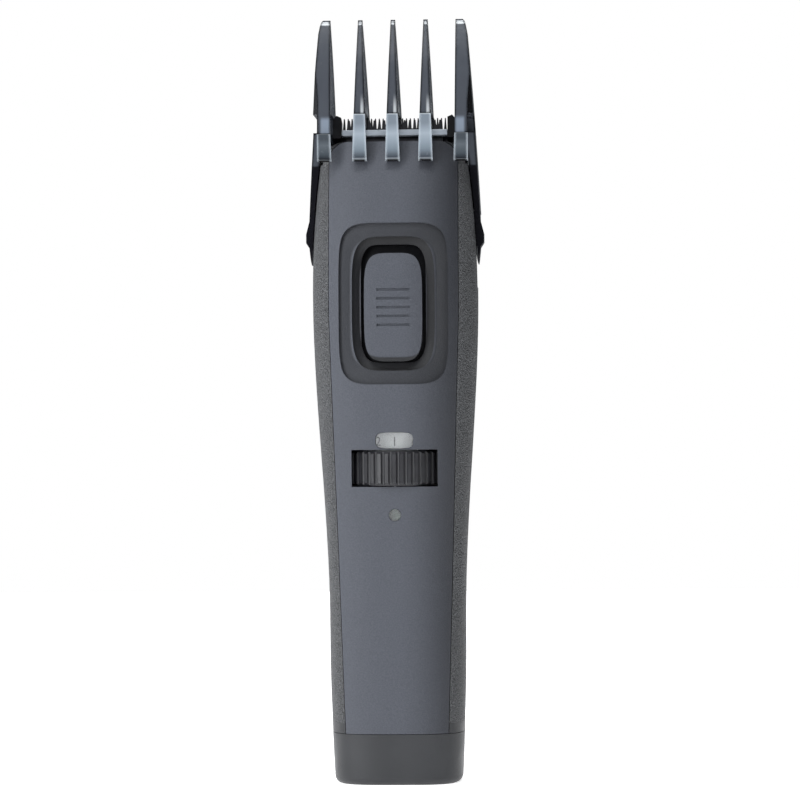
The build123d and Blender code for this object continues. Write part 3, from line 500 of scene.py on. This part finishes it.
shutterLow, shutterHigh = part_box("switch_shutter")
switchMiddle = (shutterLow[2] + shutterHigh[2]) / 2 + 0.0009
plasticLooks = {
    "cover_grey": {
        "colours": ((0.046, 0.05, 0.062), (0.062, 0.067, 0.081)), "mottleScale": 2600, "roughness": 0.55,
        "uneven": 0.05, "grainScale": 3600, "grainDetail": 3, "grainStrength": 0.4, "grainDepth": 0.0002,
        "specular": 0.35,
        "slopes": {
            # the colour of the painted shade, and how strongly painted shade darkens the right side
            "middle": switchMiddle, "paintedShadeColour": (0.006, 0.006, 0.007, 1), "sideShadeStrength": 0.68,
            "sideReach": 0.019,
            # half width, half height, squareness, inner outline, depth and strength of the painted shade
            "rings": ((0.0149, 0.022, 5.8, 0.8, 0.0009, 0.66),
                      (0.0113, 0.0183, 4.5, 0.82, 0.0016, 0.94)),
        },
    },
    "grip_black": {
        "colours": ((0.004, 0.004, 0.005), (0.088, 0.092, 0.098)), "mottleScale": 2500, "roughness": 0.5,
        "uneven": 0.12, "grainScale": 2500, "grainDetail": 2, "grainStrength": 1.0, "grainDepth": 0.0009,
        "specular": 0.5,
    },
    "housing_black": {
        "colours": ((0.014, 0.015, 0.017), (0.021, 0.022, 0.025)), "mottleScale": 80, "roughness": 0.46,
        "uneven": 0.06, "grainScale": 4200, "grainDetail": 3, "grainStrength": 0.3, "grainDepth": 0.00012,
        "specular": 0.45,
    },
    "moulded_black": {
        "colours": ((0.002, 0.002, 0.003), (0.006, 0.006, 0.007)), "mottleScale": 150, "roughness": 0.34,
        "uneven": 0.07, "grainScale": 3000, "grainDetail": 2, "grainStrength": 0.12, "grainDepth": 0.0001,
        "specular": 0.12,
    },
    "dial_black": {
        "colours": ((0.01, 0.01, 0.012), (0.018, 0.018, 0.021)), "mottleScale": 200, "roughness": 0.4,
        "uneven": 0.08, "grainScale": 2600, "grainDetail": 2, "grainStrength": 0.2, "grainDepth": 0.0001,
        "specular": 0.5,
    },
    "chassis_white": {
        "colours": ((0.66, 0.66, 0.62), (0.74, 0.74, 0.7)), "mottleScale": 120, "roughness": 0.5,
        "uneven": 0.06, "grainScale": 2200, "grainDetail": 2, "grainStrength": 0.15, "grainDepth": 0.0001,
        "specular": 0.4,
    },
    "board_green": {
        "colours": ((0.01, 0.085, 0.035), (0.016, 0.12, 0.05)), "mottleScale": 400, "roughness": 0.35,
        "uneven": 0.08, "grainScale": 900, "grainDetail": 4, "grainStrength": 0.3, "grainDepth": 0.0001,
        "specular": 0.5,
    },
    "seal_rubber": {
        "colours": ((0.012, 0.012, 0.012), (0.02, 0.02, 0.02)), "mottleScale": 180, "roughness": 0.8,
        "uneven": 0.06, "grainScale": 1800, "grainDetail": 4, "grainStrength": 0.3, "grainDepth": 0.00015,
        "specular": 0.3,
    },
}
metalLooks = {
    "blade_black": {
        "colours": ((0.01, 0.01, 0.012), (0.03, 0.03, 0.034)), "stretch": (1, 1, 5), "streakScale": 900,
        "roughness": 0.33, "bump": 0.25, "metallic": 0.75,
    },
    "bar_steel": {
        "colours": ((0.24, 0.27, 0.31), (0.34, 0.37, 0.41)), "stretch": (0.05, 1, 1), "streakScale": 3200,
        "roughness": 0.5, "bump": 0.3, "metallic": 0.4,
    },
    "screw_steel": {
        "colours": ((0.4, 0.4, 0.41), (0.58, 0.58, 0.59)), "stretch": (1, 1, 1), "streakScale": 1600,
        "roughness": 0.3, "bump": 0.2, "metallic": 1.0,
    },
    "can_steel": {
        "colours": ((0.42, 0.42, 0.44), (0.58, 0.58, 0.6)), "stretch": (1, 1, 0.05), "streakScale": 1400,
        "roughness": 0.32, "bump": 0.2, "metallic": 1.0,
    },
    "contact_nickel": {
        "colours": ((0.55, 0.54, 0.5), (0.7, 0.69, 0.65)), "stretch": (1, 1, 0.2), "streakScale": 1500,
        "roughness": 0.2, "bump": 0.1, "metallic": 1.0,
    },
    "bush_brass": {
        "colours": ((0.55, 0.38, 0.14), (0.7, 0.52, 0.22)), "stretch": (1, 1, 8), "streakScale": 900,
        "roughness": 0.28, "bump": 0.2, "metallic": 1.0,
    },
    "cell_sleeve": {
        "colours": ((0.03, 0.16, 0.1), (0.04, 0.21, 0.13)), "stretch": (1, 1, 0.3), "streakScale": 500,
        "roughness": 0.3, "bump": 0.1, "metallic": 0.0,
    },
}
clearLooks = {
    "lens_clear": {
        "colours": ((0.8, 0.82, 0.84), (0.86, 0.88, 0.9)), "roughness": 0.04, "clear": 0.95, "coat": 0.2,
    },
    "led_clear": {
        "colours": ((0.45, 0.8, 0.5), (0.55, 0.86, 0.6)), "roughness": 0.12, "clear": 0.7, "coat": 0.2,
    },
}
print("stage: finishes")
finishes = {name: mouldedPlastic(name, look) for name, look in plasticLooks.items()}
finishes.update({name: workedMetal(name, look) for name, look in metalLooks.items()})
finishes.update({name: smokyPlastic(name, look) for name, look in clearLooks.items()})
finishes["comb_smoke"] = combPlastic("comb_smoke")

edgeAngle = 35            # degrees: flatter edges stay as they are
# edge rounding in millimetres for the pieces whose edges are seen
edgeRounding = {
    "comb": 0.4, "front_cover": 0.3, "switch_button": 0.35, "rear_housing": 0.2, "left_grip": 0.25,
    "right_grip": 0.25, "base_cap": 0.25, "guide_bar": 0.15, "blade_frame": 0.3, "carriage": 0.25,
    "scale_window": 0.15, "inlet_socket": 0.25, "fixed_blade": 0.05, "moving_blade": 0.05,
    "length_dial": 0.12,
}


def dressNode(name, slotName):
    piece = nodes[name]
    piece.data.materials.clear()
    piece.data.materials.append(finishes[slotName])
    piece.data.shade_smooth()
    if name in edgeRounding:
        rounding = piece.modifiers.new("edgeRounding", "BEVEL")
        rounding.width = edgeRounding[name] * mm
        rounding.segments = 2
        rounding.limit_method = "ANGLE"
        rounding.angle_limit = math.radians(edgeAngle)
        rounding.harden_normals = True


print("stage: finishes on the pieces")
for part in frame["record"]["subparts"]:
    dressNode(part["node"], part["material_slot"])

# numbers printed round the scale ring, one for each step of the dial
numberLook = {"count": 10, "step": 30.0, "height": 2.6, "fontScale": 1.4, "lift": 0.03, "axisY": -4.8}


def addNumbers():
    low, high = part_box("scale_ring")
    radius = (high[0] - low[0]) / 2 / mm + numberLook["lift"]
    middle = (low[2] + high[2]) / 2 / mm - numberLook["height"] / 2
    vertices, faces = [], []
    for step in range(numberLook["count"]):
        letters = bpy.data.curves.new("number", "FONT")
        letters.body = str(step + 1)
        letters.size = numberLook["height"] * numberLook["fontScale"]
        letters.align_x = "CENTER"
        letters.resolution_u = 4
        holder = bpy.data.objects.new("number", letters)
        flat = bpy.data.meshes.new_from_object(holder)
        turn = math.radians(-90 - step * numberLook["step"])
        first = len(vertices)
        for vertex in flat.vertices:
            angle = turn + vertex.co.x / radius
            across, out = radius * math.cos(angle), numberLook["axisY"] + radius * math.sin(angle)
            vertices.append((across * mm, out * mm, (middle + vertex.co.y) * mm))
        faces += [[first + index for index in face.vertices] for face in flat.polygons]
        bpy.data.objects.remove(holder)
        bpy.data.meshes.remove(flat)
        bpy.data.curves.remove(letters)
    mesh = bpy.data.meshes.new("scaleNumbers")
    mesh.from_pydata(vertices, [], faces)
    mesh.materials.append(finishes["dial_black"])
    numbers = bpy.data.objects.new("scaleNumbers", mesh)
    scene.collection.objects.link(numbers)
    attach(numbers, "dial")


print("stage: numbers on the ring")
addNumbers()
